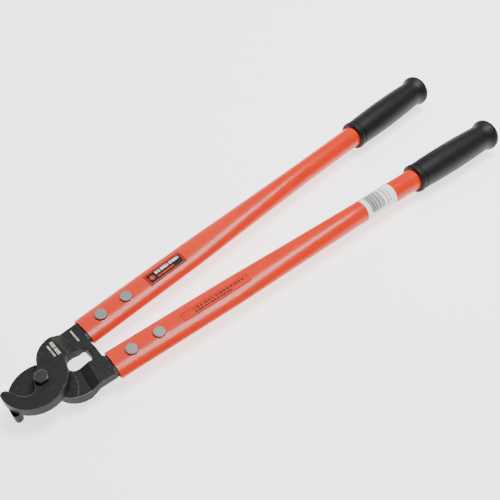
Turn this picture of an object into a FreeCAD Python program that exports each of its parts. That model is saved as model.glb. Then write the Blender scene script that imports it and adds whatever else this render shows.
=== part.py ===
import FreeCAD, Part
import math
import os
import Sketcher

# Two-handed shear-type cable cutter, closed.
# Row frame: the origin is on the pivot axis in the plane where the two blades slide on each other,
# +X runs from the pivot along the tool towards the handles, +Z points out of the bolt head.
# The lower arm is the upper arm turned half a turn about the X axis.
#
# Every arm piece is drawn in the arm's own frame: its X axis is parallel to the handle tube,
# its Y axis points away from the other arm, and its Z axis is the pivot axis.

doc = FreeCAD.newDocument("cable_cutter")
sheet = doc.addObject("Spreadsheet::Sheet", "Sizes")
V = FreeCAD.Vector

SIZES = [
    ("arm_angle", 3.39, "angle between an arm's tube and the tool's centre line"),
    ("arm_offset", 23.8, "from the pivot axis square to the tube's centre line"),
    ("blade_gap", 0.2, "running gap between the blades' ground faces"),
    ("jaw_thickness", 14.0, "blade thickness at the jaw, measured from the centre plane"),
    ("hook_x", -6.3, "centre of the jaw's outer round"),
    ("hook_y", 7.4, "centre of the jaw's outer round"),
    ("hook_radius", 36.3, "jaw's outer round"),
    ("throat_x", -14.5, "centre of the cutting edge's deepest curve"),
    ("throat_y", 6.5, "centre of the cutting edge's deepest curve"),
    ("throat_radius", 5.8, "cutting edge's deepest curve"),
    ("edge_radius", 30.0, "long curve of the cutting edge"),
    ("rim_throat_x", -18.0, "the same curves where the bevel meets the outer face"),
    ("rim_throat_y", 0.3, "centre of the rim's deepest curve"),
    ("rim_throat_radius", 8.8, "rim's deepest curve"),
    ("rim_edge_radius", 50.0, "long curve of the rim"),
    ("edge_land", 0.8, "upright land of the cutting edge below its bevel"),
    ("bevel_clear", 0.1, "the bevel starts this far in front of the cutting edge"),
    ("rim_bevel_clear", 0, "the bevel ends right on the rim's curves"),
    ("tip_x", -34.95, "centre of the round at the cutting edge's outer end"),
    ("tip_y", 12.82, "centre of the round at the cutting edge's outer end"),
    ("tip_corner", 1.2, "round at the cutting edge's outer end"),
    ("tip_angle", 150.0, "direction of the blunt tip face"),
    ("tip_radius", 4.0, "round on the back of the tip"),
    ("boss_x", 2.75, "centre of the round beside the pivot bolt"),
    ("boss_y", 2.45, "centre of the round beside the pivot bolt"),
    ("boss_radius", 10.0, "round beside the pivot bolt"),
    ("notch_radius", 6.0, "hollow between the boss and the neck"),
    ("neck_x", 32.0, "centre of the neck's outer round"),
    ("neck_y", 7.9, "centre of the neck's outer round"),
    ("heel_radius", 6.5, "hollow between the jaw's heel and the finger gap"),
    ("gap_slope", 5.5, "slope of the neck's inner edge"),
    ("gap_edge_y", 7.0, "neck's inner edge where it meets the stop lug"),
    ("gap_corner", 2.5, "corner between the neck and the stop lug"),
    ("lug_front", 54.9, "front of the stop lug"),
    ("lug_rear", 64.3, "rear of the stop lug"),
    ("lug_gap", 0.5, "gap between the two stop lugs when the tool is closed"),
    ("lug_corner", 2.0, "corner between the stop lug and the tang"),
    ("tang_thickness", 12.4, "forged tang between the neck and the tube"),
    ("tang_outer", 12.5, "tang edge outside the tube's centre line"),
    ("tang_inner", 13.5, "tang edge inside the tube's centre line"),
    ("joggle_start", 37.6, "where the jaw's faces begin to step over to the tang"),
    ("joggle_end", 49.1, "where the step ends"),
    ("joggle_skew", 5.1, "turn of the step's lines about the pivot axis"),
    ("ground_margin", 0.5, "ground face beyond the jaw's outer round"),
    ("ground_depth", 0.4, "depth of the ground face below the forged neck"),
    ("edge_round", 0.9, "rounded edges of the forging"),
    ("shoulder_gap", 2.2, "from the tang's shoulder to the tube's end"),
    ("shank_end", 145.0, "inner end of the shank in the tube"),
    ("shank_clearance", 0.25, "between the shank and the tube's wall"),
    ("tube_start", 68.1, "open end of the tube"),
    ("oval_end", 225.0, "end of the flattened stretch"),
    ("taper_end", 415.0, "where the tube is round again"),
    ("oval_half_width", 18.8, "flattened stretch, half its width"),
    ("oval_half_height", 8.4, "flattened stretch, half its height"),
    ("tube_radius", 14.1, "round stretch, outer radius"),
    ("tube_wall", 1.65, "wall of the tube"),
    ("rivet_front", 92.8, "first rivet from the pivot axis, along the tube"),
    ("rivet_spacing", 35.0, "from the first rivet to the second"),
    ("rivet_radius", 3.95, "rivet shank"),
    ("rivet_clearance", 0.05, "rivet holes are larger by this"),
    ("rivet_head_radius", 7.1, "rivet head"),
    ("rivet_head_rise", 2.3, "rivet head above the tube's crown"),
    ("rivet_head_round", 0.9, "round on the rivet head's rim"),
    ("rivet_seat", 0.5, "depth pressed into the tube under a rivet head"),
    ("rivet_seat_margin", 0.3, "seat beyond the rivet head"),
    ("bolt_radius", 4.76, "pivot bolt shank"),
    ("pivot_clearance", 0.06, "pivot bores are larger by this"),
    ("hex_across_flats", 14.3, "pivot bolt head and nut"),
    ("bolt_head_height", 5.0, "pivot bolt head"),
    ("bolt_head_gap", 0.1, "running gap under the bolt head"),
    ("bolt_tail", 1.5, "pivot bolt beyond its nut"),
    ("bolt_tail_chamfer", 0.8, "chamfer on the bolt's end"),
    ("washer_radius", 10.3, "washer under the nut"),
    ("washer_thickness", 1.6, "washer under the nut"),
    ("washer_clearance", 0.3, "washer bore larger than the bolt by this"),
    ("nut_hex_height", 6.0, "hexagonal stretch of the lock nut"),
    ("nut_collar_height", 2.3, "round collar that holds the locking ring"),
    ("nut_collar_radius", 6.5, "round collar of the lock nut"),
    ("nut_lip", 0.6, "collar's rolled lip over the locking ring"),
    ("ring_radius", 5.7, "locking ring, outer radius"),
    ("nut_lip_radius", 5.3, "opening in the collar's rolled lip"),
    ("thread_clearance", 0.03, "nut and locking ring bores are larger by this"),
    ("grip_start", 518.7, "front end of the grip"),
    ("grip_length", 145.8, "whole length of the grip"),
    ("grip_end_wall", 9.5, "closed end of the grip behind the tube"),
    ("grip_clearance", 0.1, "between the tube and the grip's bore"),
    ("bead_radius", 19.1, "bead at the front of the grip"),
    ("bead_width", 6.8, "bead at the front of the grip"),
    ("bead_round", 2.5, "round of the bead"),
    ("groove_radius", 17.6, "groove behind the bead"),
    ("groove_width", 2.7, "groove behind the bead"),
    ("belly_at", 66.3, "fullest place of the grip, behind its front end"),
    ("belly_radius", 19.6, "grip at its fullest"),
    ("belly_curve", 1130.0, "long curve of the grip's belly"),
    ("flare_radius", 21.3, "flared end of the grip"),
    ("flare_hollow", 20.5, "hollow curve up to the flare"),
    ("flare_round", 7.0, "round of the flared end"),
    ("label_thickness", 0.15, "printed labels"),
    ("label_gap", 0.03, "labels clear the tube by this"),
    ("badge_start", 158.6, "maker's badge, front end"),
    ("badge_length", 53.0, "maker's badge"),
    ("badge_width", 17.0, "maker's badge across the tube"),
    ("notice_start", 157.5, "long narrow label, front end"),
    ("notice_end", 251.0, "long narrow label, rear end"),
    ("notice_width", 12.0, "long narrow label across the tube"),
    ("sticker_start", 427.5, "price sticker, front end"),
    ("sticker_length", 48.5, "price sticker"),
    ("sticker_inside", 35.0, "sticker, turned from the crown towards the other arm"),
    ("sticker_outside", 105.0, "sticker, turned from the crown away from the other arm"),
]

for row, (alias, value, note) in enumerate(SIZES, start=1):
    sheet.set(f"A{row}", alias)
    sheet.set(f"B{row}", str(value))
    sheet.set(f"C{row}", note)
    sheet.setAlias(f"B{row}", alias)
doc.recompute()


def size(alias):
    """Read one driving dimension."""
    return float(sheet.get(alias))


# ---------------------------------------------------------------- drawing helpers

def polar(center, radius, degrees):
    angle = math.radians(degrees)
    return center + V(radius * math.cos(angle), radius * math.sin(angle), 0)


def bearing(start, end):
    return math.degrees(math.atan2(end.y - start.y, end.x - start.x))


def meet(first, first_distance, second, second_distance):
    """The point at the two distances from the two centres, left of the line between them."""
    span = second - first
    along = (first_distance**2 - second_distance**2 + span.Length**2) / (2 * span.Length)
    across = math.sqrt(first_distance**2 - along**2)
    unit = span / span.Length
    return first + unit * along + V(-unit.y, unit.x, 0) * across


def cross_over(first, first_radius, second, second_radius):
    """Bearing on the first circle of the tangent that crosses over to the second circle."""
    fold = math.acos((first_radius + second_radius) / (second - first).Length)
    return bearing(first, second) - math.degrees(fold)


def on_ray(center, distance, start, degrees):
    """The point on a ray from start that lies at the distance from centre."""
    unit = polar(V(), 1, degrees)
    away = start - center
    half = away.dot(unit)
    return start + unit * (math.sqrt(half**2 - away.dot(away) + distance**2) - half)


def line(start, end):
    return Part.LineSegment(start, end), 1, 2


def turn(center, radius, start, end, clockwise=False):
    """Arc about center from one bearing to another."""
    circle = Part.Circle(center, V(0, 0, 1), radius)
    if clockwise:
        sweep = (start - end) % 360
        return Part.ArcOfCircle(circle, math.radians(start - sweep), math.radians(start)), 2, 1
    sweep = (end - start) % 360
    return Part.ArcOfCircle(circle, math.radians(start), math.radians(start + sweep)), 1, 2


def trace(sketch, pieces, joints):
    """Draw a closed outline; T joins two pieces smoothly and C joins them at a corner."""
    first = len(sketch.Geometry)
    for shape, _, _ in pieces:
        sketch.addGeometry(shape, False)
    for index, joint in enumerate(joints):
        following = (index + 1) % len(pieces)
        kind = "Tangent" if joint == "T" else "Coincident"
        ends = (first + index, pieces[index][2], first + following, pieces[following][1])
        sketch.addConstraint(Sketcher.Constraint(kind, *ends))
    return first


def bind(sketch, constraint, expression):
    """Add a dimension and drive it from the sheet."""
    index = sketch.addConstraint(constraint)
    sketch.setExpression(f"Constraints[{index}]", expression)


def bind_radius(sketch, geometry, expression):
    bind(sketch, Sketcher.Constraint("Radius", geometry, sketch.Geometry[geometry].Radius), expression)


def bind_point(sketch, geometry, position, x=None, y=None):
    """Fix a point's distances from the sketch origin; an axis left out stays free."""
    point = sketch.getPoint(geometry, position)
    for kind, value, expression in (("DistanceX", point.x, x), ("DistanceY", point.y, y)):
        if expression == "0":
            axis = -2 if kind == "DistanceX" else -1
            sketch.addConstraint(Sketcher.Constraint("PointOnObject", geometry, position, axis))
        elif expression is not None:
            bind(sketch, Sketcher.Constraint(kind, -1, 1, geometry, position, value), expression)


UPPER = "placement(vector(0; 0; 0); rotation(vector(0; 0; 1); Sizes.arm_angle))"
LOWER = (
    "placement(vector(0; 0; 0); "
    "rotation(vector(1; 0; 0); 180) * rotation(vector(0; 0; 1); Sizes.arm_angle))"
)


REACH = "3 * Sizes.jaw_thickness"
RIVETS = ["Sizes.rivet_front", "Sizes.rivet_front + Sizes.rivet_spacing"]


def make_body(label, placement=None):
    """A body standing in the upper arm, in the lower arm, or on the pivot axis."""
    body = doc.addObject("PartDesign::Body", label)
    body.Label = label
    if placement is not None:
        body.setExpression("Placement", placement)
    return body


def make_sketch(body, name, role, x=None, y=None, z=None, turned=None):
    """A sketch on one of the body's origin planes, moved by sheet expressions in its own axes."""
    sketch = body.newObject("Sketcher::SketchObject", name)
    plane = next(feature for feature in body.Origin.OriginFeatures if feature.Role == role)
    sketch.AttachmentSupport = [(plane, "")]
    sketch.MapMode = "FlatFace"
    for axis, expression in (("x", x), ("y", y), ("z", z)):
        if expression is not None:
            sketch.setExpression(f"AttachmentOffset.Base.{axis}", expression)
    if turned is not None:
        sketch.setExpression("AttachmentOffset.Rotation.Pitch", turned)
    return sketch


def add_feature(body, kind, name, sketch, **settings):
    """A sketch-based feature whose text settings are sheet expressions."""
    feature = body.newObject(f"PartDesign::{kind}", name)
    feature.Profile = sketch
    for key, value in settings.items():
        if isinstance(value, str) and value.startswith("="):
            feature.setExpression(key, value[1:])
        else:
            setattr(feature, key, value)
    return feature


def number(feature, expression):
    """The present value of a sheet expression."""
    value = feature.evalExpression(expression)
    return float(getattr(value, "Value", value))


def add_outline(sketch, corners):
    """A closed outline of straight edges; each corner is a pair of sheet expressions."""
    points = [V(number(sketch, x), number(sketch, y), 0) for x, y in corners]
    pieces = [line(points[i], points[(i + 1) % len(points)]) for i in range(len(points))]
    first = trace(sketch, pieces, "C" * len(pieces))
    for index, (x, y) in enumerate(corners):
        bind_point(sketch, first + index, 1, x, y)


def add_circle(sketch, radius, x="0", y="0"):
    center = V(number(sketch, x), number(sketch, y), 0)
    index = sketch.addGeometry(Part.Circle(center, V(0, 0, 1), number(sketch, radius)), False)
    bind_radius(sketch, index, radius)
    if x == "0" and y == "0":
        sketch.addConstraint(Sketcher.Constraint("Coincident", index, 3, -1, 1))
    else:
        bind_point(sketch, index, 3, x, y)


def add_oval(sketch, half_width, half_height):
    """An ellipse about the sketch origin, its long way along the sketch's X axis."""
    wide, high = number(sketch, half_width), number(sketch, half_height)
    index = sketch.addGeometry(Part.Ellipse(V(), wide, high), False)
    sketch.exposeInternalGeometry(index)
    sketch.addConstraint(Sketcher.Constraint("Coincident", index, 3, -1, 1))
    sketch.addConstraint(Sketcher.Constraint("Horizontal", index + 1))
    bind(sketch, Sketcher.Constraint("Distance", index + 1, 2 * wide), f"2 * ({half_width})")
    bind(sketch, Sketcher.Constraint("Distance", index + 2, 2 * high), f"2 * ({half_height})")


def both_ways(reach):
    """Settings of a feature that runs the same distance to either side of its sketch."""
    return {"SideType": "Symmetric", "Length": f"=2 * ({reach})"}


# ---------------------------------------------------------------- forged blades

def draw_blade(sketch):
    """Outline of one blade with its neck, stop lug and tang, anticlockwise from the jaw's tip."""
    hook = V(size("hook_x"), size("hook_y"), 0)
    hook_radius = size("hook_radius")
    heel_radius = size("heel_radius")
    slope = size("gap_slope")
    corner = size("gap_corner")
    lug_corner = size("lug_corner")
    notch_radius = size("notch_radius")
    boss = V(size("boss_x"), size("boss_y"), 0)
    boss_radius = size("boss_radius")
    throat = V(size("throat_x"), size("throat_y"), 0)
    throat_radius = size("throat_radius")
    edge_radius = size("edge_radius")
    tip_radius = size("tip_radius")
    tip_angle = size("tip_angle")
    tilt = math.radians(size("arm_angle"))
    inner = size("arm_offset") - size("tang_inner")
    outer = size("arm_offset") + size("tang_outer")

    rise = corner * math.cos(math.radians(slope))
    gap_corner = V(size("lug_front") - corner, size("gap_edge_y") - rise, 0)
    gap_end = polar(gap_corner, corner, 90 + slope)
    heel = on_ray(hook, hook_radius + heel_radius, polar(gap_end, heel_radius, slope - 90), slope)
    lug = [
        V(x, (size("lug_gap") / 2 - x * math.sin(tilt)) / math.cos(tilt), 0)
        for x in (size("lug_front"), size("lug_rear"))
    ]
    rear_corner = V(size("lug_rear") + lug_corner, inner - lug_corner, 0)
    shank = [V(size("shank_end"), inner, 0), V(size("shank_end"), outer, 0)]
    neck = V(size("neck_x"), size("neck_y"), 0)
    neck_radius = outer - neck.y
    notch = meet(boss, boss_radius + notch_radius, neck, neck_radius + notch_radius)
    leave = cross_over(boss, boss_radius, throat, throat_radius)
    tip = V(size("tip_x"), size("tip_y"), 0)
    tip_corner = size("tip_corner")
    edge = meet(tip, edge_radius + tip_corner, throat, edge_radius - throat_radius)
    tip_inset = polar(tip, tip_radius - tip_corner, tip_angle + 90)
    tip_back = on_ray(hook, hook_radius - tip_radius, tip_inset, tip_angle)

    pieces = [
        turn(hook, hook_radius, bearing(hook, tip_back), bearing(hook, heel)),
        turn(heel, heel_radius, bearing(heel, hook), 90 + slope, clockwise=True),
        line(polar(heel, heel_radius, 90 + slope), gap_end),
        turn(gap_corner, corner, 90 + slope, 0, clockwise=True),
        line(polar(gap_corner, corner, 0), lug[0]),
        line(lug[0], lug[1]),
        line(lug[1], polar(rear_corner, lug_corner, 180)),
        turn(rear_corner, lug_corner, 180, 90, clockwise=True),
        line(polar(rear_corner, lug_corner, 90), shank[0]),
        line(shank[0], shank[1]),
        line(shank[1], V(neck.x, outer, 0)),
        turn(neck, neck_radius, 90, bearing(neck, notch)),
        turn(notch, notch_radius, bearing(notch, neck), bearing(notch, boss), clockwise=True),
        turn(boss, boss_radius, bearing(boss, notch), leave),
        line(polar(boss, boss_radius, leave), polar(throat, throat_radius, leave + 180)),
        turn(throat, throat_radius, leave + 180, bearing(edge, throat), clockwise=True),
        turn(edge, edge_radius, bearing(edge, throat), bearing(edge, tip), clockwise=True),
        turn(tip, tip_corner, bearing(tip, edge), tip_angle - 90),
        line(polar(tip, tip_corner, tip_angle - 90), polar(tip_back, tip_radius, tip_angle - 90)),
        turn(tip_back, tip_radius, tip_angle - 90, bearing(hook, tip_back)),
    ]
    trace(sketch, pieces, "TTTTCCTTCCTTTTTTTTTT")
    bind_radius(sketch, 0, "Sizes.hook_radius")
    bind_point(sketch, 0, 3, "Sizes.hook_x", "Sizes.hook_y")
    bind_radius(sketch, 1, "Sizes.heel_radius")
    bind(sketch, Sketcher.Constraint("Angle", 2, math.radians(slope)), "Sizes.gap_slope")
    bind_point(sketch, 2, 2, y="Sizes.gap_edge_y")
    bind_radius(sketch, 3, "Sizes.gap_corner")
    sketch.addConstraint(Sketcher.Constraint("Vertical", 4))
    bind_point(sketch, 4, 2, x="Sizes.lug_front")
    bind(sketch, Sketcher.Constraint("Distance", -1, 1, 5, size("lug_gap") / 2), "Sizes.lug_gap / 2")
    bind(sketch, Sketcher.Constraint("Angle", 5, -tilt), "-Sizes.arm_angle")
    sketch.addConstraint(Sketcher.Constraint("Vertical", 6))
    bind_point(sketch, 6, 1, x="Sizes.lug_rear")
    bind_radius(sketch, 7, "Sizes.lug_corner")
    sketch.addConstraint(Sketcher.Constraint("Horizontal", 8))
    bind_point(sketch, 8, 2, "Sizes.shank_end", "Sizes.arm_offset - Sizes.tang_inner")
    sketch.addConstraint(Sketcher.Constraint("Vertical", 9))
    sketch.addConstraint(Sketcher.Constraint("Horizontal", 10))
    bind_point(sketch, 10, 1, y="Sizes.arm_offset + Sizes.tang_outer")
    bind_point(sketch, 11, 3, "Sizes.neck_x", "Sizes.neck_y")
    bind_radius(sketch, 12, "Sizes.notch_radius")
    bind_radius(sketch, 13, "Sizes.boss_radius")
    bind_point(sketch, 13, 3, "Sizes.boss_x", "Sizes.boss_y")
    bind_radius(sketch, 15, "Sizes.throat_radius")
    bind_point(sketch, 15, 3, "Sizes.throat_x", "Sizes.throat_y")
    bind_radius(sketch, 16, "Sizes.edge_radius")
    bind_radius(sketch, 17, "Sizes.tip_corner")
    bind_point(sketch, 17, 3, "Sizes.tip_x", "Sizes.tip_y")
    bind(sketch, Sketcher.Constraint("Angle", 18, math.radians(tip_angle)), "Sizes.tip_angle")
    bind_radius(sketch, 19, "Sizes.tip_radius")


def draw_throat(sketch, curve):
    """Waste in front of the throat, bounded by the cutting edge's or the rim's curves."""
    clear = size(f"{curve}bevel_clear")
    boss = V(size("boss_x"), size("boss_y"), 0)
    boss_radius = size("boss_radius") + clear
    throat = V(size(f"{curve}throat_x"), size(f"{curve}throat_y"), 0)
    throat_radius = size(f"{curve}throat_radius") - clear
    edge_radius = size(f"{curve}edge_radius") - clear
    tip = V(size("tip_x"), size("tip_y"), 0)
    tip_corner = size("tip_corner") + clear
    edge = meet(tip, edge_radius + tip_corner, throat, edge_radius - throat_radius)
    leave = cross_over(boss, boss_radius, throat, throat_radius)
    top = size("hook_radius")
    contact = polar(throat, throat_radius, leave + 180)
    arrive = polar(tip, tip_corner, bearing(tip, edge))
    rise = math.radians(leave + 90)
    lean = math.radians(bearing(edge, arrive) - 90)
    start = V(contact.x + (top - contact.y) / math.tan(rise), top, 0)
    end = V(arrive.x + (top - arrive.y) / math.tan(lean), top, 0)
    pieces = [
        line(start, contact),
        turn(throat, throat_radius, leave + 180, bearing(edge, throat), clockwise=True),
        turn(edge, edge_radius, bearing(edge, throat), bearing(edge, tip), clockwise=True),
        line(arrive, end),
        line(end, start),
    ]
    trace(sketch, pieces, "TTTCC")
    for index, name in ((5, "boss"), (6, "tip")):
        corner = "boss_radius" if name == "boss" else "tip_corner"
        center = V(size(f"{name}_x"), size(f"{name}_y"), 0)
        sketch.addGeometry(Part.Circle(center, V(0, 0, 1), size(corner) + clear), True)
        bind_radius(sketch, index, f"Sizes.{corner} + Sizes.{curve}bevel_clear")
        bind_point(sketch, index, 3, f"Sizes.{name}_x", f"Sizes.{name}_y")
    sketch.addConstraint(Sketcher.Constraint("Tangent", 0, 5))
    sketch.addConstraint(Sketcher.Constraint("Tangent", 2, pieces[2][2], 6))
    bind_radius(sketch, 1, f"Sizes.{curve}throat_radius - Sizes.{curve}bevel_clear")
    bind_point(sketch, 1, 3, f"Sizes.{curve}throat_x", f"Sizes.{curve}throat_y")
    bind_radius(sketch, 2, f"Sizes.{curve}edge_radius - Sizes.{curve}bevel_clear")
    bind_point(sketch, 0, 1, y="Sizes.hook_radius")
    bind_point(sketch, 4, 1, y="Sizes.hook_radius")


def rim_edges(shape):
    """Edges between the side walls and the outer faces, in front of the shank's shoulder."""
    names = []
    shoulder = size("tube_start") - size("shoulder_gap")
    for index, edge in enumerate(shape.Edges, start=1):
        middle = edge.CenterOfMass
        if edge.BoundBox.XMax > shoulder + 0.01 or middle.x > shoulder - 0.01 or -1 < middle.z < 1:
            continue
        faces = shape.ancestorsOfType(edge, Part.Face)
        tilts = sorted(abs(face.normalAt(*face.Surface.parameter(middle)).z) for face in faces)
        if tilts[0] < 0.05 and tilts[1] > 0.75:
            names.append(f"Edge{index}")
    return names


def make_blade(label, placement):
    """One forged blade: flat hooked jaw, neck stepped down to the tang, and oval shank."""
    body = make_body(label, placement)
    outline = make_sketch(body, "outline", "XY_Plane", z="-Sizes.tang_thickness / 2")
    draw_blade(outline)
    thickness = "=Sizes.jaw_thickness + Sizes.tang_thickness / 2"
    add_feature(body, "Pad", "forging", outline, Length=thickness)

    step = make_sketch(body, "step_profile", "XZ_Plane", turned="Sizes.joggle_skew")
    forged_face = "Sizes.blade_gap / 2 - Sizes.ground_depth"
    add_outline(step, [
        (f"-({REACH})", forged_face),
        (f"-({REACH})", f"-({REACH})"),
        ("Sizes.joggle_end", f"-({REACH})"),
        ("Sizes.joggle_end", "-Sizes.tang_thickness / 2"),
        ("Sizes.joggle_start", forged_face),
    ])
    add_outline(step, [
        ("Sizes.joggle_start", "Sizes.jaw_thickness"),
        ("Sizes.joggle_end", "Sizes.tang_thickness / 2"),
        (f"5 * {REACH}", "Sizes.tang_thickness / 2"),
        (f"5 * {REACH}", REACH),
        ("Sizes.joggle_start", REACH),
    ])
    add_feature(body, "Pocket", "step", step, **both_ways("2 * " + REACH))

    ground = make_sketch(body, "ground_outline", "XY_Plane", z="Sizes.blade_gap / 2")
    add_circle(ground, "Sizes.hook_radius + Sizes.ground_margin", "Sizes.hook_x", "Sizes.hook_y")
    add_feature(body, "Pocket", "ground_face", ground, Length="=Sizes.tang_thickness")

    shoulder = "Sizes.tube_start - Sizes.shoulder_gap"
    shank = make_sketch(body, "shank_section", "YZ_Plane", x="Sizes.arm_offset", z=shoulder)
    add_oval(
        shank,
        "Sizes.oval_half_width - Sizes.tube_wall - Sizes.shank_clearance",
        "Sizes.oval_half_height - Sizes.tube_wall - Sizes.shank_clearance",
    )
    below = f"-({REACH})"
    add_outline(shank, [(below, below), (REACH, below), (REACH, REACH), (below, REACH)])
    add_feature(body, "Pocket", "shank", shank, Reversed=True, Length=f"=Sizes.shank_end - ({shoulder}) + 1")

    doc.recompute()
    forging = body.Tip
    fillet = body.newObject("PartDesign::Fillet", "rounded_rims")
    fillet.Base = (forging, rim_edges(forging.Shape))
    fillet.setExpression("Radius", "Sizes.edge_round")

    land = make_sketch(body, "cutting_edge", "XY_Plane", z="Sizes.blade_gap / 2 + Sizes.edge_land")
    draw_throat(land, "")
    rim = make_sketch(body, "throat_rim", "XY_Plane", z="Sizes.jaw_thickness")
    draw_throat(rim, "rim_")
    bevel = body.newObject("PartDesign::SubtractiveLoft", "bevel")
    bevel.Profile = land
    bevel.Sections = [rim]
    bevel.Ruled = True

    holes = make_sketch(body, "holes", "XY_Plane")
    add_circle(holes, "Sizes.bolt_radius + Sizes.pivot_clearance")
    for along in RIVETS:
        add_circle(holes, "Sizes.rivet_radius + Sizes.rivet_clearance", along, "Sizes.arm_offset")
    add_feature(body, "Pocket", "bores", holes, **both_ways(REACH))
    return body


# ---------------------------------------------------------------- handle tubes

def add_oval_ring(body, name, at, half_width, half_height, wall):
    """A hollow oval section of the tube; wall is measured inwards."""
    section = make_sketch(body, name, "YZ_Plane", x="Sizes.arm_offset", z=at)
    add_oval(section, half_width, half_height)
    add_oval(section, f"{half_width} - {wall}", f"{half_height} - {wall}")
    return section


def add_round_ring(body, name, at, outer, inner):
    section = make_sketch(body, name, "YZ_Plane", x="Sizes.arm_offset", z=at)
    add_circle(section, outer)
    add_circle(section, inner)
    return section


TUBE_END = "Sizes.grip_start + Sizes.grip_length - Sizes.grip_end_wall"


def make_tube(label, placement):
    """Steel tube, flattened where it holds the shank and round where it carries the grip."""
    body = make_body(label, placement)
    oval = ("Sizes.oval_half_width", "Sizes.oval_half_height", "Sizes.tube_wall")
    bore = "Sizes.tube_radius - Sizes.tube_wall"
    mouth = add_oval_ring(body, "mouth", "Sizes.tube_start", *oval)
    add_feature(body, "Pad", "flattened", mouth, Length="=Sizes.oval_end - Sizes.tube_start")
    taper = body.newObject("PartDesign::AdditiveLoft", "taper")
    taper.Profile = add_oval_ring(body, "taper_front", "Sizes.oval_end", *oval)
    taper.Sections = [add_round_ring(body, "taper_rear", "Sizes.taper_end", "Sizes.tube_radius", bore)]
    taper.Ruled = True
    rear = add_round_ring(body, "round_section", "Sizes.taper_end", "Sizes.tube_radius", bore)
    add_feature(body, "Pad", "round", rear, Length=f"={TUBE_END} - Sizes.taper_end")

    for side, sign, turned_over in (("front", "", True), ("back", "-", False)):
        level = f"{sign}(Sizes.oval_half_height - Sizes.rivet_seat)"
        seats = make_sketch(body, f"{side}_seats", "XY_Plane", z=level)
        for along in RIVETS:
            add_circle(seats, "Sizes.rivet_head_radius + Sizes.rivet_seat_margin", along, "Sizes.arm_offset")
        depth = "=2 * Sizes.rivet_seat"
        add_feature(body, "Pocket", f"{side}_flats", seats, Reversed=turned_over, Length=depth)
    holes = make_sketch(body, "rivet_holes", "XY_Plane")
    for along in RIVETS:
        add_circle(holes, "Sizes.rivet_radius + Sizes.rivet_clearance", along, "Sizes.arm_offset")
    add_feature(body, "Pocket", "rivet_bores", holes, **both_ways(REACH))
    return body


def make_rivet(label, placement, along):
    """Solid steel rivet with a flat-topped head on either side of the tube."""
    body = make_body(label, placement)
    half = make_sketch(body, "half_section", "XZ_Plane", x=along, z="-Sizes.arm_offset")
    shank, head, edge = size("rivet_radius"), size("rivet_head_radius"), size("rivet_head_round")
    seat = size("oval_half_height") - size("rivet_seat")
    top = size("oval_half_height") + size("rivet_head_rise")
    pieces = [
        line(V(0, -top, 0), V(head - edge, -top, 0)),
        turn(V(head - edge, edge - top, 0), edge, -90, 0),
        line(V(head, edge - top, 0), V(head, -seat, 0)),
        line(V(head, -seat, 0), V(shank, -seat, 0)),
        line(V(shank, -seat, 0), V(shank, seat, 0)),
        line(V(shank, seat, 0), V(head, seat, 0)),
        line(V(head, seat, 0), V(head, top - edge, 0)),
        turn(V(head - edge, top - edge, 0), edge, 0, 90),
        line(V(head - edge, top, 0), V(0, top, 0)),
        line(V(0, top, 0), V(0, -top, 0)),
    ]
    trace(half, pieces, "TTCCCCTTCC")
    seat_level = "Sizes.oval_half_height - Sizes.rivet_seat"
    top_level = "Sizes.oval_half_height + Sizes.rivet_head_rise"
    bind_point(half, 0, 1, "0", f"-({top_level})")
    bind_radius(half, 1, "Sizes.rivet_head_round")
    bind_point(half, 3, 1, "Sizes.rivet_head_radius", f"-({seat_level})")
    bind_point(half, 3, 2, "Sizes.rivet_radius", f"-({seat_level})")
    bind_point(half, 5, 1, "Sizes.rivet_radius", seat_level)
    bind_point(half, 5, 2, "Sizes.rivet_head_radius", seat_level)
    bind_radius(half, 7, "Sizes.rivet_head_round")
    bind_point(half, 9, 1, "0", top_level)
    for index, kind in ((0, "Horizontal"), (2, "Vertical"), (6, "Vertical"), (8, "Horizontal")):
        half.addConstraint(Sketcher.Constraint(kind, index))
    add_feature(body, "Revolution", "turned", half, ReferenceAxis=(half, ["V_Axis"]))
    return body


# ---------------------------------------------------------------- pivot

def add_hexagon(sketch, across_flats):
    """A regular hexagon about the sketch origin with two corners on the X axis."""
    corner = f"({across_flats}) / 2 / cos(30 deg)"
    angles = [60 * index for index in range(6)]
    corners = [(f"{corner} * cos({angle} deg)", f"{corner} * sin({angle} deg)") for angle in angles]
    corners[0] = (corner, "0")
    corners[3] = (f"-{corner}", "0")
    add_outline(sketch, corners)


def add_corner_cut(body, name, level, slope):
    """Turn a hexagon's corners down to a 30 degree cone; slope is the cone's rise outwards."""
    cut = make_sketch(body, f"{name}_profile", "XZ_Plane")
    inside = "0.47 * Sizes.hex_across_flats"
    outside = "Sizes.hex_across_flats"
    add_outline(cut, [
        (inside, level),
        (outside, f"{level} {slope} 0.53 * Sizes.hex_across_flats * tan(30 deg)"),
        (outside, level),
    ])
    add_feature(body, "Groove", name, cut, ReferenceAxis=(cut, ["V_Axis"]))


HEAD_UNDERSIDE = "Sizes.jaw_thickness + Sizes.bolt_head_gap"
WASHER_FACE = "-(Sizes.jaw_thickness + Sizes.washer_thickness)"
NUT_FACE = f"{WASHER_FACE} - Sizes.nut_hex_height"
COLLAR_FACE = f"{NUT_FACE} - Sizes.nut_collar_height"
BOLT_END = f"{COLLAR_FACE} - Sizes.bolt_tail"


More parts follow.
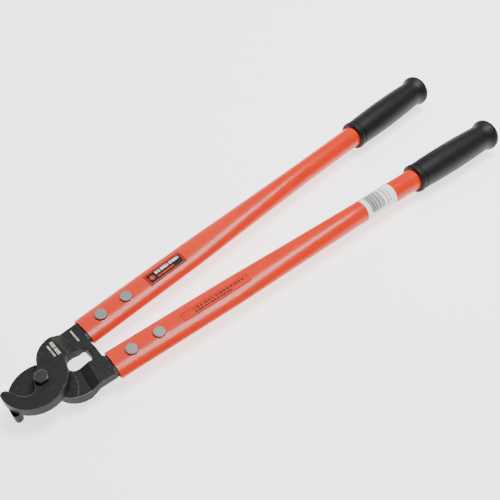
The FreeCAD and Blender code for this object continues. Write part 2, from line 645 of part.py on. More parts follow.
def make_bolt(label):
    """Hexagon bolt that the front blade turns on; it is clamped to the rear blade."""
    body = make_body(label)
    head = make_sketch(body, "head_outline", "XY_Plane", z=HEAD_UNDERSIDE)
    add_hexagon(head, "Sizes.hex_across_flats")
    add_feature(body, "Pad", "head", head, Length="=Sizes.bolt_head_height")
    add_corner_cut(body, "head_chamfer", f"{HEAD_UNDERSIDE} + Sizes.bolt_head_height", "-")
    shank = make_sketch(body, "shank_half_section", "XZ_Plane")
    add_outline(shank, [
        ("0", BOLT_END),
        ("Sizes.bolt_radius - Sizes.bolt_tail_chamfer", BOLT_END),
        ("Sizes.bolt_radius", f"{BOLT_END} + Sizes.bolt_tail_chamfer"),
        ("Sizes.bolt_radius", HEAD_UNDERSIDE),
        ("0", HEAD_UNDERSIDE),
    ])
    add_feature(body, "Revolution", "shank", shank, ReferenceAxis=(shank, ["V_Axis"]))
    return body


def make_washer(label):
    """Flat washer between the rear blade and the nut."""
    body = make_body(label)
    ring = make_sketch(body, "outline", "XY_Plane", z=WASHER_FACE)
    add_circle(ring, "Sizes.washer_radius")
    add_circle(ring, "Sizes.bolt_radius + Sizes.washer_clearance")
    add_feature(body, "Pad", "plate", ring, Length="=Sizes.washer_thickness")
    return body


def make_nut(label):
    """Hexagon lock nut with a round collar rolled over its locking ring."""
    body = make_body(label)
    outline = make_sketch(body, "outline", "XY_Plane", z=NUT_FACE)
    add_hexagon(outline, "Sizes.hex_across_flats")
    add_circle(outline, "Sizes.bolt_radius + Sizes.thread_clearance")
    add_feature(body, "Pad", "hexagon", outline, Length="=Sizes.nut_hex_height")
    add_corner_cut(body, "chamfer", NUT_FACE, "+")
    collar = make_sketch(body, "collar_section", "XZ_Plane")
    add_outline(collar, [
        ("Sizes.nut_collar_radius", NUT_FACE),
        ("Sizes.ring_radius", NUT_FACE),
        ("Sizes.ring_radius", f"{COLLAR_FACE} + Sizes.nut_lip"),
        ("Sizes.nut_lip_radius", f"{COLLAR_FACE} + Sizes.nut_lip"),
        ("Sizes.nut_lip_radius", COLLAR_FACE),
        ("Sizes.nut_collar_radius", COLLAR_FACE),
    ])
    add_feature(body, "Revolution", "collar", collar, ReferenceAxis=(collar, ["V_Axis"]))
    return body


def make_locking_ring(label):
    """Nylon ring held in the nut's collar; it grips the bolt's thread."""
    body = make_body(label)
    ring = make_sketch(body, "outline", "XY_Plane", z=f"{COLLAR_FACE} + Sizes.nut_lip")
    add_circle(ring, "Sizes.ring_radius")
    add_circle(ring, "Sizes.bolt_radius + Sizes.thread_clearance")
    add_feature(body, "Pad", "ring", ring, Length="=Sizes.nut_collar_height - Sizes.nut_lip")
    return body


# ---------------------------------------------------------------- grips

def make_grip(label, placement):
    """Moulded grip with a bead in front, a long belly and a flared closed end."""
    body = make_body(label, placement)
    half = make_sketch(body, "half_section", "XZ_Plane", z="-Sizes.arm_offset")
    start = size("grip_start")
    bead, groove = size("bead_radius"), size("groove_radius")
    bead_end = start + size("bead_width")
    step = bead - groove
    front_round = size("bead_round")
    body_start = bead_end + size("groove_width")
    end = start + size("grip_length")
    bore = size("tube_radius") + size("grip_clearance")
    tube_end = end - size("grip_end_wall")
    long_curve = size("belly_curve")
    belly = V(start + size("belly_at"), size("belly_radius") - long_curve, 0)
    flare_round = size("flare_round")
    flare = V(end - flare_round, size("flare_radius") - flare_round, 0)
    hollow_radius = size("flare_hollow")
    hollow = meet(belly, long_curve + hollow_radius, flare, flare_round + hollow_radius)
    rise = V(body_start, belly.y + math.sqrt(long_curve**2 - (body_start - belly.x) ** 2), 0)
    pieces = [
        line(V(start, bore, 0), V(start, bead - front_round, 0)),
        turn(V(start + front_round, bead - front_round, 0), front_round, 180, 90, clockwise=True),
        line(V(start + front_round, bead, 0), V(bead_end - step, bead, 0)),
        turn(V(bead_end - step, groove, 0), step, 90, 0, clockwise=True),
        line(V(bead_end, groove, 0), V(body_start, groove, 0)),
        line(V(body_start, groove, 0), rise),
        turn(belly, long_curve, bearing(belly, rise), bearing(belly, hollow), clockwise=True),
        turn(hollow, hollow_radius, bearing(hollow, belly), bearing(hollow, flare)),
        turn(flare, flare_round, bearing(flare, hollow), 0, clockwise=True),
        line(V(end, flare.y, 0), V(end, 0, 0)),
        line(V(end, 0, 0), V(tube_end, 0, 0)),
        line(V(tube_end, 0, 0), V(tube_end, bore, 0)),
        line(V(tube_end, bore, 0), V(start, bore, 0)),
    ]
    trace(half, pieces, "TTTCCCTTTCCCC")
    bore_radius = "Sizes.tube_radius + Sizes.grip_clearance"
    for index, kind in ((2, "Horizontal"), (4, "Horizontal"), (5, "Vertical")):
        half.addConstraint(Sketcher.Constraint(kind, index))
    for index in (0, 9, 11):
        half.addConstraint(Sketcher.Constraint("Vertical", index))
    bind_point(half, 0, 1, "Sizes.grip_start", bore_radius)
    bind_radius(half, 1, "Sizes.bead_round")
    bind_point(half, 2, 2, y="Sizes.bead_radius")
    bind_radius(half, 3, "Sizes.bead_radius - Sizes.groove_radius")
    bind_point(half, 4, 1, "Sizes.grip_start + Sizes.bead_width", "Sizes.groove_radius")
    bind_point(half, 5, 1, x="Sizes.grip_start + Sizes.bead_width + Sizes.groove_width")
    bind_radius(half, 6, "Sizes.belly_curve")
    bind_point(half, 6, 3, "Sizes.grip_start + Sizes.belly_at", "Sizes.belly_radius - Sizes.belly_curve")
    bind_radius(half, 7, "Sizes.flare_hollow")
    bind_radius(half, 8, "Sizes.flare_round")
    bind_point(
        half, 8, 3,
        "Sizes.grip_start + Sizes.grip_length - Sizes.flare_round",
        "Sizes.flare_radius - Sizes.flare_round",
    )
    bind_point(half, 10, 1, y="0")
    bind_point(half, 11, 1, TUBE_END, "0")
    half.addConstraint(Sketcher.Constraint("Horizontal", 12))
    add_feature(body, "Revolution", "moulding", half, ReferenceAxis=(half, ["H_Axis"]))
    return body


# ---------------------------------------------------------------- labels

def clip_to_strip(body, width, up):
    """Keep only the part of a ring round the tube that lies in a strip along its crown."""
    crown = "" if up else "-"
    waste = make_sketch(body, "waste", "YZ_Plane", x="Sizes.arm_offset", z="Sizes.tube_start")
    half = f"({width}) / 2"
    corners = [(f"-({REACH})", f"-({crown}{REACH})"), (REACH, f"-({crown}{REACH})"),
               (REACH, f"{crown}({REACH})"), (half, f"{crown}({REACH})"), (half, "0"),
               (f"-{half}", "0"), (f"-{half}", f"{crown}({REACH})"), (f"-({REACH})", f"{crown}({REACH})")]
    add_outline(waste, corners)
    add_feature(body, "Pocket", "clipped", waste, Reversed=True, Length="=Sizes.grip_start")


LABEL_OVAL = (
    "Sizes.oval_half_width + Sizes.label_gap + Sizes.label_thickness",
    "Sizes.oval_half_height + Sizes.label_gap + Sizes.label_thickness",
    "Sizes.label_thickness",
)


def make_badge(label, placement):
    """Rectangular plastic label on the crown of the flattened tube."""
    body = make_body(label, placement)
    ring = add_oval_ring(body, "section", "Sizes.badge_start", *LABEL_OVAL)
    add_feature(body, "Pad", "sheet", ring, Length="=Sizes.badge_length")
    clip_to_strip(body, "Sizes.badge_width", up=True)
    return body


def make_notice(label, placement):
    """Long narrow label that runs from the flattened stretch onto the taper."""
    body = make_body(label, placement)
    front = add_oval_ring(body, "front_section", "Sizes.notice_start", *LABEL_OVAL)
    add_feature(body, "Pad", "level_sheet", front, Length="=Sizes.oval_end - Sizes.notice_start")
    share = "(Sizes.notice_end - Sizes.oval_end) / (Sizes.taper_end - Sizes.oval_end)"
    rear_oval = [
        f"{half} + ({share}) * (Sizes.tube_radius - {half}) + Sizes.label_gap + Sizes.label_thickness"
        for half in ("Sizes.oval_half_width", "Sizes.oval_half_height")
    ]
    taper = body.newObject("PartDesign::AdditiveLoft", "taper_sheet")
    taper.Profile = add_oval_ring(body, "middle_section", "Sizes.oval_end", *LABEL_OVAL)
    taper.Sections = [
        add_oval_ring(body, "rear_section", "Sizes.notice_end", *rear_oval, "Sizes.label_thickness")
    ]
    taper.Ruled = True
    clip_to_strip(body, "Sizes.notice_width", up=False)
    return body


def make_sticker(label, placement):
    """Paper sticker wrapped round the tube in front of the grip."""
    body = make_body(label, placement)
    strip = make_sketch(body, "strip", "XZ_Plane", z="-Sizes.arm_offset")
    inside = "-(Sizes.tube_radius + Sizes.label_gap)"
    outside = f"{inside} - Sizes.label_thickness"
    add_outline(strip, [
        ("Sizes.sticker_start", outside),
        ("Sizes.sticker_start + Sizes.sticker_length", outside),
        ("Sizes.sticker_start + Sizes.sticker_length", inside),
        ("Sizes.sticker_start", inside),
    ])
    add_feature(
        body, "Revolution", "wrapped", strip, ReferenceAxis=(strip, ["H_Axis"]), Type="TwoAngles",
        Angle="=Sizes.sticker_outside", Angle2="=Sizes.sticker_inside",
    )
    return body


# ---------------------------------------------------------------- assembly

bodies = [
    make_bolt("pivot_bolt"),
    make_washer("pivot_washer"),
    make_nut("pivot_lock_nut"),
    make_locking_ring("nut_locking_ring"),
    make_badge("maker_label", UPPER),
    make_notice("long_label", LOWER),
    make_sticker("barcode_sticker", LOWER),
]
for arm, placement in (("upper", UPPER), ("lower", LOWER)):
    bodies.append(make_blade(f"{arm}_blade", placement))
    bodies.append(make_tube(f"{arm}_tube", placement))
    bodies.append(make_grip(f"{arm}_grip", placement))
    for place, along in zip(("front", "rear"), RIVETS):
        bodies.append(make_rivet(f"{arm}_{place}_rivet", placement, along))
doc.recompute()

os.makedirs("parts", exist_ok=True)
for feature in doc.Objects:
    faults = {"Invalid", "Error"} & set(feature.State)
    if faults:
        raise RuntimeError(f"{feature.Label} is {faults}")
for body in bodies:
    shape = body.Shape
    if shape.isNull() or not shape.isValid() or len(shape.Solids) != 1:
        raise RuntimeError(f"{body.Label} is not one valid solid")
    shape.exportStep(f"parts/{body.Label}.step")
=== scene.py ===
import math
import random

import bpy
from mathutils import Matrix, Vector


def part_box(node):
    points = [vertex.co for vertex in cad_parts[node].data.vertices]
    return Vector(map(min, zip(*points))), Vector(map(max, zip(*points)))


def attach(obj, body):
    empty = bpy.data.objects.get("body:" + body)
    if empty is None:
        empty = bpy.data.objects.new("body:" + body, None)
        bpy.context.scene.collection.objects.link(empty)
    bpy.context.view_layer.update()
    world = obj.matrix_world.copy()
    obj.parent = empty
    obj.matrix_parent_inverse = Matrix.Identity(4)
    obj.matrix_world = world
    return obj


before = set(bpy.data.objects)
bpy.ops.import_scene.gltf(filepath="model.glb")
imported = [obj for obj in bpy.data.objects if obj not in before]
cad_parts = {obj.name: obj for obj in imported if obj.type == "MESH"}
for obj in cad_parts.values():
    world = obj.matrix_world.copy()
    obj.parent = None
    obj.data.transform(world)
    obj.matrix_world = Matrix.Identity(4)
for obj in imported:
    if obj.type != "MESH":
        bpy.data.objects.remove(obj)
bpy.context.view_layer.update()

# ---------------------------------------------------------------- camera
# The tool lies flat with its bolt head up. The view is from in front of the jaws,
# on the side of the lower arm and about fifty degrees above the bench.
camera_data = bpy.data.cameras.new("camera")
camera_data.lens = 53.36
camera_data.sensor_width = 36
camera_data.dof.use_dof = False
camera_data.clip_start = 0.01
camera_data.clip_end = 20
camera = bpy.data.objects.new("camera", camera_data)
bpy.context.collection.objects.link(camera)
camera.location = Vector((-0.08747, -0.42524, 0.68800))
toward = Vector((0.28011, -0.00423, 0)) - camera.location
camera.rotation_euler = toward.to_track_quat("-Z", "Y").to_euler()
bpy.context.scene.camera = camera


# ---------------------------------------------------------------- studio
# A flat pale floor that glows a little, a soft box above the grips and a sheet of light behind.
# The side towards the camera is left darker, so that gloss paint shows a soft edge to the light.
def add_object(name, data):
    obj = bpy.data.objects.new(name, data)
    bpy.context.collection.objects.link(obj)
    return obj


def mesh_object(name, vertices, faces):
    mesh = bpy.data.meshes.new(name)
    mesh.from_pydata([tuple(v) for v in vertices], [], faces)
    mesh.update()
    return add_object(name, mesh)


def new_material(name):
    """A node material: its tree, its Principled shader and the object-space coordinates."""
    material = bpy.data.materials.new(name)
    material.use_nodes = True
    tree = material.node_tree
    shader = tree.nodes["Principled BSDF"]
    place = tree.nodes.new("ShaderNodeTexCoord")
    return material, tree, shader, place.outputs["Object"]


def noise(tree, vector, scale, detail=4, roughness=0.5):
    node = tree.nodes.new("ShaderNodeTexNoise")
    node.inputs["Scale"].default_value = scale
    node.inputs["Detail"].default_value = detail
    node.inputs["Roughness"].default_value = roughness
    tree.links.new(vector, node.inputs["Vector"])
    return node.outputs["Fac"]


def stretched(tree, vector, scale, turn=(0, 0, 0)):
    node = tree.nodes.new("ShaderNodeMapping")
    node.inputs["Scale"].default_value = scale
    node.inputs["Rotation"].default_value = turn
    tree.links.new(vector, node.inputs["Vector"])
    return node.outputs["Vector"]


def ramp(tree, value, *stops):
    """Each stop is a position and a grey level or a colour."""
    node = tree.nodes.new("ShaderNodeValToRGB")
    elements = node.color_ramp.elements
    while len(elements) < len(stops):
        elements.new(0.5)
    for element, (position, shade) in zip(elements, stops):
        element.position = position
        color = shade if isinstance(shade, tuple) else (shade, shade, shade)
        element.color = (*color, 1)
    tree.links.new(value, node.inputs["Fac"])
    return node.outputs["Color"]


def remap(tree, value, low, high, start=0, end=1):
    node = tree.nodes.new("ShaderNodeMapRange")
    node.clamp = True
    for name, number in (("From Min", low), ("From Max", high), ("To Min", start), ("To Max", end)):
        node.inputs[name].default_value = number
    tree.links.new(value, node.inputs["Value"])
    return node.outputs["Result"]


def calculate(tree, operation, first, second):
    node = tree.nodes.new("ShaderNodeMath")
    node.operation = operation
    for socket, value in zip(node.inputs, (first, second)):
        if isinstance(value, (int, float)):
            socket.default_value = value
        else:
            tree.links.new(value, socket)
    return node.outputs["Value"]


def blend_colors(tree, mask, first, second):
    node = tree.nodes.new("ShaderNodeMix")
    node.data_type = "RGBA"
    sockets = [node.inputs[0], node.inputs[6], node.inputs[7]]
    for socket, value in zip(sockets, (mask, first, second)):
        if isinstance(value, tuple):
            socket.default_value = (*value, 1)
        elif isinstance(value, (int, float)):
            socket.default_value = value
        else:
            tree.links.new(value, socket)
    return node.outputs[2]


def bump(tree, shader, height, strength, distance):
    node = tree.nodes.new("ShaderNodeBump")
    node.inputs["Strength"].default_value = strength
    node.inputs["Distance"].default_value = distance
    tree.links.new(height, node.inputs["Height"])
    tree.links.new(node.outputs["Normal"], shader.inputs["Normal"])


def area_light(name, location, target, width, depth, power):
    data = bpy.data.lights.new(name, "AREA")
    data.shape = "RECTANGLE"
    data.size = width
    data.size_y = depth
    data.energy = power
    light = add_object(name, data)
    light.location = location
    light.rotation_euler = (Vector(target) - Vector(location)).to_track_quat("-Z", "X").to_euler()


floor_level = min(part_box(node)[0].z for node in ("pivot_bolt", "lower_grip")) - 0.0002
half = 6
floor_corners = [(x, y, floor_level) for x, y in ((-half, -half), (half, -half), (half, half), (-half, half))]
floor = mesh_object("floor", floor_corners, [(0, 1, 2, 3)])
floor_paint, tree, shader, place = new_material("floor_paint")
shade = ramp(tree, noise(tree, place, 3), (0.35, 0.86), (0.65, 0.88))
tree.links.new(shade, shader.inputs["Base Color"])
shader.inputs["Roughness"].default_value = 0.8
shader.inputs["Emission Color"].default_value = (1, 1, 1, 1)
shader.inputs["Emission Strength"].default_value = 1.9
floor.data.materials.append(floor_paint)

area_light("overhead_box", (0.75, -0.04, 1.5), (0.75, -0.04, 0), 0.9, 0.6, 44)
area_light("back_sheet", (0.5, 1.6, 1.1), (0.3, 0, 0), 2.4, 1.2, 10)

world = bpy.data.worlds.new("world")
bpy.context.scene.world = world
world.use_nodes = True
sky = world.node_tree
background = sky.nodes["Background"]
direction = sky.nodes.new("ShaderNodeTexCoord")
axes = sky.nodes.new("ShaderNodeSeparateXYZ")
sky.links.new(direction.outputs["Generated"], axes.inputs["Vector"])
side_light = remap(sky, axes.outputs["Y"], -0.7, 0.7, 0.10, 0.45)
sky.links.new(side_light, background.inputs["Strength"])
background.inputs["Color"].default_value = (1, 1, 1, 1)


# ---------------------------------------------------------------- forged blades
# Two drop-forged steel blades, heat treated black, with the rounded rims painted lighter: partly skin worn
# bright, partly painted highlight.
# Each is riveted into its tube by an oval shank and they cross on the pivot bolt.
def wear_and_highlight_group():
    """Grain of a forged or cast skin, fine random scratches, and a mask of rounded rims, used for worn metal
    and for a painted highlight.
    """
    group = bpy.data.node_groups.new("wear_and_highlight", "ShaderNodeTree")
    for name in ("Grain", "Scratches", "Rims"):
        group.interface.new_socket(name, in_out="OUTPUT", socket_type="NodeSocketFloat")
    exits = group.nodes.new("NodeGroupOutput")
    place = group.nodes.new("ShaderNodeTexCoord").outputs["Object"]
    fine = noise(group, place, 1600, 5, 0.65)
    broad = noise(group, place, 260, 4, 0.6)
    fine_share = calculate(group, "MULTIPLY", fine, 0.6)
    broad_share = calculate(group, "MULTIPLY", broad, 0.4)
    grain = calculate(group, "ADD", fine_share, broad_share)
    lines = []
    for turn, scale in ((0.5, 1.3), (-0.9, 2.1), (1.8, 3.7)):
        along = stretched(group, place, (60, 2600, 400), (0, 0, turn))
        streak = remap(group, noise(group, along, scale, 2, 0.4), 0.70, 0.74)
        lines.append(streak)
    scuffed = remap(group, noise(group, place, 55, 3, 0.5), 0.52, 0.62)
    last_two = calculate(group, "MAXIMUM", lines[1], lines[2])
    any_line = calculate(group, "MAXIMUM", lines[0], last_two)
    scratches = calculate(group, "MULTIPLY", any_line, scuffed)
    # Mask of rounded edges from the bevel normal, which paints worn metal and a highlight on the rims
    rounded = group.nodes.new("ShaderNodeBevel")
    rounded.samples = 6
    rounded.inputs["Radius"].default_value = 0.0011
    geometry = group.nodes.new("ShaderNodeNewGeometry")
    agree = group.nodes.new("ShaderNodeVectorMath")
    agree.operation = "DOT_PRODUCT"
    group.links.new(rounded.outputs["Normal"], agree.inputs[0])
    group.links.new(geometry.outputs["Normal"], agree.inputs[1])
    edge = remap(group, agree.outputs["Value"], 0.995, 0.90)
    rims = calculate(group, "MULTIPLY", edge, remap(group, noise(group, place, 420, 4, 0.6), 0.35, 0.6))
    for name, value in (("Grain", grain), ("Scratches", scratches), ("Rims", rims)):
        group.links.new(value, exits.inputs[name])
    return group


def use_wear_and_highlight(tree):
    node = tree.nodes.new("ShaderNodeGroup")
    node.node_tree = bpy.data.node_groups.get("wear_and_highlight") or wear_and_highlight_group()
    return node.outputs


def dress(material, *nodes):
    """Give CAD pieces their material."""
    for name in nodes:
        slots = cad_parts[name].data.materials
        slots.clear()
        slots.append(material)


forged, tree, shader, place = new_material("forged_skin")
wear_and_highlight = use_wear_and_highlight(tree)
skin = ramp(tree, wear_and_highlight["Grain"], (0.35, (0.011, 0.011, 0.0115)), (0.62, (0.021, 0.021, 0.022)))
skin = blend_colors(tree, wear_and_highlight["Scratches"], skin, (0.16, 0.155, 0.15))
# Rims painted lighter and metallic: worn bare skin plus a painted highlight on the rounded edges
skin = blend_colors(tree, calculate(tree, "MULTIPLY", wear_and_highlight["Rims"], 0.8), skin, (0.26, 0.26, 0.255))
tree.links.new(skin, shader.inputs["Base Color"])
rough = remap(tree, wear_and_highlight["Grain"], 0.3, 0.7, 0.36, 0.52)
tree.links.new(rough, shader.inputs["Roughness"])
shader.inputs["Specular IOR Level"].default_value = 0.12
metal = calculate(tree, "MULTIPLY", wear_and_highlight["Rims"], 0.9)
tree.links.new(metal, shader.inputs["Metallic"])
bump(tree, shader, wear_and_highlight["Grain"], 0.35, 0.00025)
dress(forged, "upper_blade", "lower_blade")


# ---------------------------------------------------------------- marks on the front blade
# Rows of small cream blocks stamped on the neck in place of its lettering.
# They are flush paint on the blade's outer face, with a finer row on the thinner tang.
def mark_paint(name, color, roughness):
    material, tree, shader, place = new_material(name)
    worn = remap(tree, noise(tree, place, 900, 3), 0.3, 0.7, 0.75, 1)
    shade = blend_colors(tree, worn, tuple(c * 0.55 for c in color), color)
    tree.links.new(shade, shader.inputs["Base Color"])
    shader.inputs["Roughness"].default_value = roughness
    return material


def letter_blocks(length, seed, mean):
    """Start and end of each block in a row that stands for a line of lettering."""
    source = random.Random(seed)
    at, blocks = 0.0, []
    while at < length - mean * 0.5:
        width = mean * source.uniform(0.35, 0.8)
        blocks.append((at, min(at + width, length)))
        at += width + mean * source.choice((0.25, 0.25, 0.25, 0.7))
    return blocks


blade_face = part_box("upper_blade")[1].z
tang_face = 0.0062
paint_thickness = 0.00002
corners, faces = [], []
for x_low, x_high, y_top, length, mean, seed, face in (
    (0.0232, 0.0252, 0.0295, 0.0165, 0.0017, 5, blade_face),
    (0.0275, 0.0312, 0.0315, 0.0215, 0.0026, 9, blade_face),
    (0.0538, 0.0558, 0.0350, 0.0180, 0.0016, 13, tang_face),
):
    for start, end in letter_blocks(length, seed, mean):
        base = len(corners)
        y_low, y_high = y_top - end, y_top - start
        for x, y in ((x_low, y_low), (x_high, y_low), (x_high, y_high), (x_low, y_high)):
            corners.append((x, y, face + paint_thickness))
        faces.append((base, base + 1, base + 2, base + 3))
marks = mesh_object("blade_marks", corners, faces)
marks.data.materials.append(mark_paint("cream_paint", (0.62, 0.55, 0.45), 0.5))
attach(marks, "upper_arm")


# ---------------------------------------------------------------- pivot bolt
# Black oxide hexagon bolt; its head is clear of the front blade and its shank is clamped
# to the rear blade by the lock nut.
bolt_skin, tree, shader, place = new_material("bolt_skin")
wear_and_highlight = use_wear_and_highlight(tree)
skin = ramp(tree, wear_and_highlight["Grain"], (0.3, (0.018, 0.018, 0.019)), (0.7, (0.034, 0.034, 0.035)))
# Rims painted lighter: worn oxide plus a painted highlight on the rounded edges
skin = blend_colors(tree, calculate(tree, "MULTIPLY", wear_and_highlight["Rims"], 0.7), skin, (0.30, 0.30, 0.30))
tree.links.new(skin, shader.inputs["Base Color"])
shader.inputs["Metallic"].default_value = 0.5
tree.links.new(remap(tree, wear_and_highlight["Grain"], 0.3, 0.7, 0.28, 0.42), shader.inputs["Roughness"])
bump(tree, shader, wear_and_highlight["Grain"], 0.2, 0.0001)
dress(bolt_skin, "pivot_bolt")


# ---------------------------------------------------------------- washer and lock nut
# Zinc-plated washer and prevailing-torque nut on the back, screwed onto the pivot bolt.
# A nylon ring shows in the nut's collar and grips the thread.
zinc, tree, shader, place = new_material("zinc_plate")
wear_and_highlight = use_wear_and_highlight(tree)
tone = ramp(tree, wear_and_highlight["Grain"], (0.3, (0.42, 0.43, 0.44)), (0.7, (0.60, 0.61, 0.60)))
tree.links.new(tone, shader.inputs["Base Color"])
shader.inputs["Metallic"].default_value = 0.9
tree.links.new(remap(tree, wear_and_highlight["Grain"], 0.3, 0.7, 0.26, 0.4), shader.inputs["Roughness"])
bump(tree, shader, wear_and_highlight["Grain"], 0.15, 0.0001)
dress(zinc, "pivot_washer", "pivot_lock_nut")

nylon, tree, shader, place = new_material("nylon")
tone = ramp(tree, noise(tree, place, 900), (0.3, (0.60, 0.60, 0.56)), (0.7, (0.72, 0.72, 0.69)))
tree.links.new(tone, shader.inputs["Base Color"])
shader.inputs["Roughness"].default_value = 0.45
dress(nylon, "nut_locking_ring")


# ---------------------------------------------------------------- handle tubes
# Drawn steel tube in gloss orange-red paint, flattened oval over the shank and round at the grip.
# The paint has a faint orange peel and a few fine rubs.
paint, tree, shader, place = new_material("arm_paint")
wear_and_highlight = use_wear_and_highlight(tree)
mottle = noise(tree, place, 38, 3)
body_color = ramp(tree, mottle, (0.35, (0.66, 0.022, 0.001)), (0.65, (0.70, 0.026, 0.001)))
rubs = calculate(tree, "MULTIPLY", wear_and_highlight["Scratches"], 0.25)
body_color = blend_colors(tree, rubs, body_color, (0.70, 0.10, 0.04))
tree.links.new(body_color, shader.inputs["Base Color"])
tree.links.new(remap(tree, mottle, 0.3, 0.7, 0.30, 0.36), shader.inputs["Roughness"])
shader.inputs["Specular IOR Level"].default_value = 0.2
shader.inputs["Coat Weight"].default_value = 0.18
shader.inputs["Coat Roughness"].default_value = 0.12
bump(tree, shader, noise(tree, place, 520, 2, 0.4), 0.05, 0.0002)
dress(paint, "upper_tube", "lower_tube")


# ---------------------------------------------------------------- rivets
# Solid steel rivets, dull grey, two through each tube and shank.
# They are headed over on both sides of the tube, on small flats that seat the heads.
rivet_steel, tree, shader, place = new_material("rivet_steel")
wear_and_highlight = use_wear_and_highlight(tree)
tone = ramp(tree, wear_and_highlight["Grain"], (0.3, (0.16, 0.16, 0.158)), (0.7, (0.27, 0.27, 0.265)))
tree.links.new(tone, shader.inputs["Base Color"])
shader.inputs["Metallic"].default_value = 0.75
tree.links.new(remap(tree, wear_and_highlight["Grain"], 0.3, 0.7, 0.38, 0.55), shader.inputs["Roughness"])
bump(tree, shader, wear_and_highlight["Grain"], 0.3, 0.0002)
dress(rivet_steel, "upper_front_rivet", "upper_rear_rivet", "lower_front_rivet", "lower_rear_rivet")


# ---------------------------------------------------------------- grips
# Moulded black rubber grips, satin, with a fine even skin.
# Each is closed at its flared end and pressed over the end of its tube.
rubber, tree, shader, place = new_material("grip_rubber")
tone = ramp(tree, noise(tree, place, 120, 4), (0.3, 0.0055), (0.7, 0.0085))
tree.links.new(tone, shader.inputs["Base Color"])
tree.links.new(remap(tree, noise(tree, place, 300, 4), 0.3, 0.7, 0.46, 0.54), shader.inputs["Roughness"])
shader.inputs["Specular IOR Level"].default_value = 0.22
bump(tree, shader, noise(tree, place, 2200, 3), 0.12, 0.0001)
dress(rubber, "upper_grip", "lower_grip")


# ---------------------------------------------------------------- labels
# Film labels on the flattened tubes and a paper sticker wrapped round the lower tube at its grip.
# The printing is plain blocks, outlines and stripes and spells nothing.
def film(name, color, roughness):
    material, tree, shader, place = new_material(name)
    tone = blend_colors(tree, noise(tree, place, 60, 3), tuple(c * 0.9 for c in color), color)
    shader.inputs["Roughness"].default_value = roughness
    shader.inputs["Specular IOR Level"].default_value = 0.15
    return material, tree, shader, place, tone


def panel_axes(tree, place, node, degrees):
    """Position on a label: along the tube and across it, from the label's own middle."""
    low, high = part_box(node)
    shift = tree.nodes.new("ShaderNodeVectorMath")
    shift.operation = "SUBTRACT"
    tree.links.new(place, shift.inputs[0])
    shift.inputs[1].default_value = (low + high) / 2
    turn = tree.nodes.new("ShaderNodeVectorRotate")
    turn.rotation_type = "Z_AXIS"
    turn.inputs["Angle"].default_value = -math.radians(degrees)
    tree.links.new(shift.outputs["Vector"], turn.inputs["Vector"])
    parts = tree.nodes.new("ShaderNodeSeparateXYZ")
    tree.links.new(turn.outputs["Vector"], parts.inputs["Vector"])
    return parts.outputs["X"], parts.outputs["Y"]


def within(tree, value, start, end):
    node = tree.nodes.new("ShaderNodeMath")
    node.operation = "COMPARE"
    tree.links.new(value, node.inputs[0])
    node.inputs[1].default_value = (start + end) / 2
    node.inputs[2].default_value = (end - start) / 2
    return node.outputs["Value"]


def patch(tree, along, across, left, right, low, high):
    return calculate(tree, "MULTIPLY", within(tree, along, left, right), within(tree, across, low, high))


def letters(tree, along, across, box, pitch, seed):
    """One row of blocks of uneven width inside a box (left, right, low, high)."""
    steps = calculate(tree, "DIVIDE", along, pitch)
    chance = tree.nodes.new("ShaderNodeTexWhiteNoise")
    chance.noise_dimensions = "1D"
    cell = calculate(tree, "ADD", calculate(tree, "FLOOR", steps, 0), seed)
    tree.links.new(cell, chance.inputs["W"])
    width = remap(tree, chance.outputs["Value"], 0, 1, 0.5, 0.85)
    block = calculate(tree, "LESS_THAN", calculate(tree, "FRACT", steps, 0), width)
    return calculate(tree, "MULTIPLY", block, patch(tree, along, across, *box))


def outline(tree, along, across, half_length, half_width, line):
    outer = patch(tree, along, across, -half_length, half_length, -half_width, half_width)
    inside = patch(
        tree, along, across, line - half_length, half_length - line, line - half_width, half_width - line
    )
    return calculate(tree, "SUBTRACT", outer, inside)


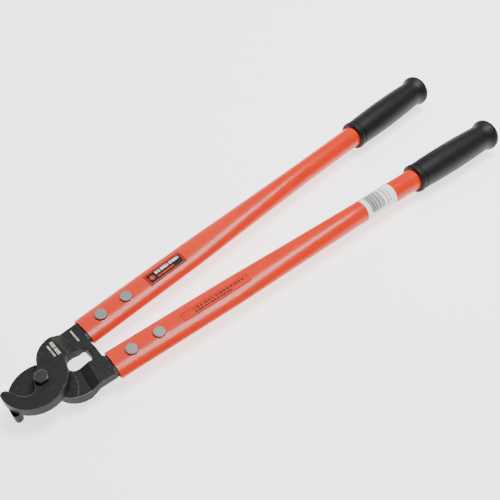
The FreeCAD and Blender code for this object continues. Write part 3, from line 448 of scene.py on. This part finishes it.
arm_lean = 3.39
badge, tree, shader, place, tone = film("black_film", (0.008, 0.008, 0.008), 0.5)
along, across = panel_axes(tree, place, "maker_label", arm_lean)
orange = (0.62, 0.035, 0.003)
tone = blend_colors(tree, outline(tree, along, across, 0.0252, 0.0074, 0.0009), tone, orange)
large_row = letters(tree, along, across, (-0.013, 0.022, 0.0008, 0.0048), 0.0042, 3)
tone = blend_colors(tree, large_row, tone, (0.8, 0.8, 0.78))
small_row = letters(tree, along, across, (-0.013, 0.012, -0.0042, -0.0018), 0.0024, 8)
tone = blend_colors(tree, small_row, tone, orange)
middle = tree.nodes.new("ShaderNodeCombineXYZ")
dot_from_middle = 0.0190
dot_radius = 0.0032
tree.links.new(calculate(tree, "ADD", along, dot_from_middle), middle.inputs["X"])
tree.links.new(across, middle.inputs["Y"])
reach = tree.nodes.new("ShaderNodeVectorMath")
reach.operation = "LENGTH"
tree.links.new(middle.outputs["Vector"], reach.inputs[0])
tone = blend_colors(tree, calculate(tree, "LESS_THAN", reach.outputs["Value"], dot_radius), tone, orange)
tree.links.new(tone, shader.inputs["Base Color"])
dress(badge, "maker_label")

notice, tree, shader, place, tone = film("orange_film", (0.66, 0.028, 0.002), 0.5)
along, across = panel_axes(tree, place, "long_label", -arm_lean)
ink = (0.02, 0.02, 0.02)
tone = blend_colors(tree, outline(tree, along, across, 0.0458, 0.0052, 0.00045), tone, ink)
long_row = letters(tree, along, across, (-0.030, 0.040, 0.0009, 0.0031), 0.0052, 5)
tone = blend_colors(tree, long_row, tone, ink)
short_row = letters(tree, along, across, (-0.030, 0.022, -0.0031, -0.0009), 0.0043, 12)
tone = blend_colors(tree, short_row, tone, ink)
tree.links.new(tone, shader.inputs["Base Color"])
dress(notice, "long_label")

sticker, tree, shader, place, tone = film("sticker_paper", (0.95, 0.95, 0.94), 0.55)
along, across = panel_axes(tree, place, "barcode_sticker", -arm_lean)
bars = letters(tree, along, across, (-0.018, 0.004, -0.0105, 0.0105), 0.0025, 21)
lines = letters(tree, across, along, (-0.0105, 0.0105, 0.0085, 0.0105), 0.0017, 4)
small = letters(tree, across, along, (-0.0105, 0.0060, 0.0135, 0.0150), 0.0014, 9)
printed = calculate(tree, "MAXIMUM", bars, calculate(tree, "MAXIMUM", lines, small))
tree.links.new(blend_colors(tree, printed, tone, (0.03, 0.03, 0.03)), shader.inputs["Base Color"])
dress(sticker, "barcode_sticker")
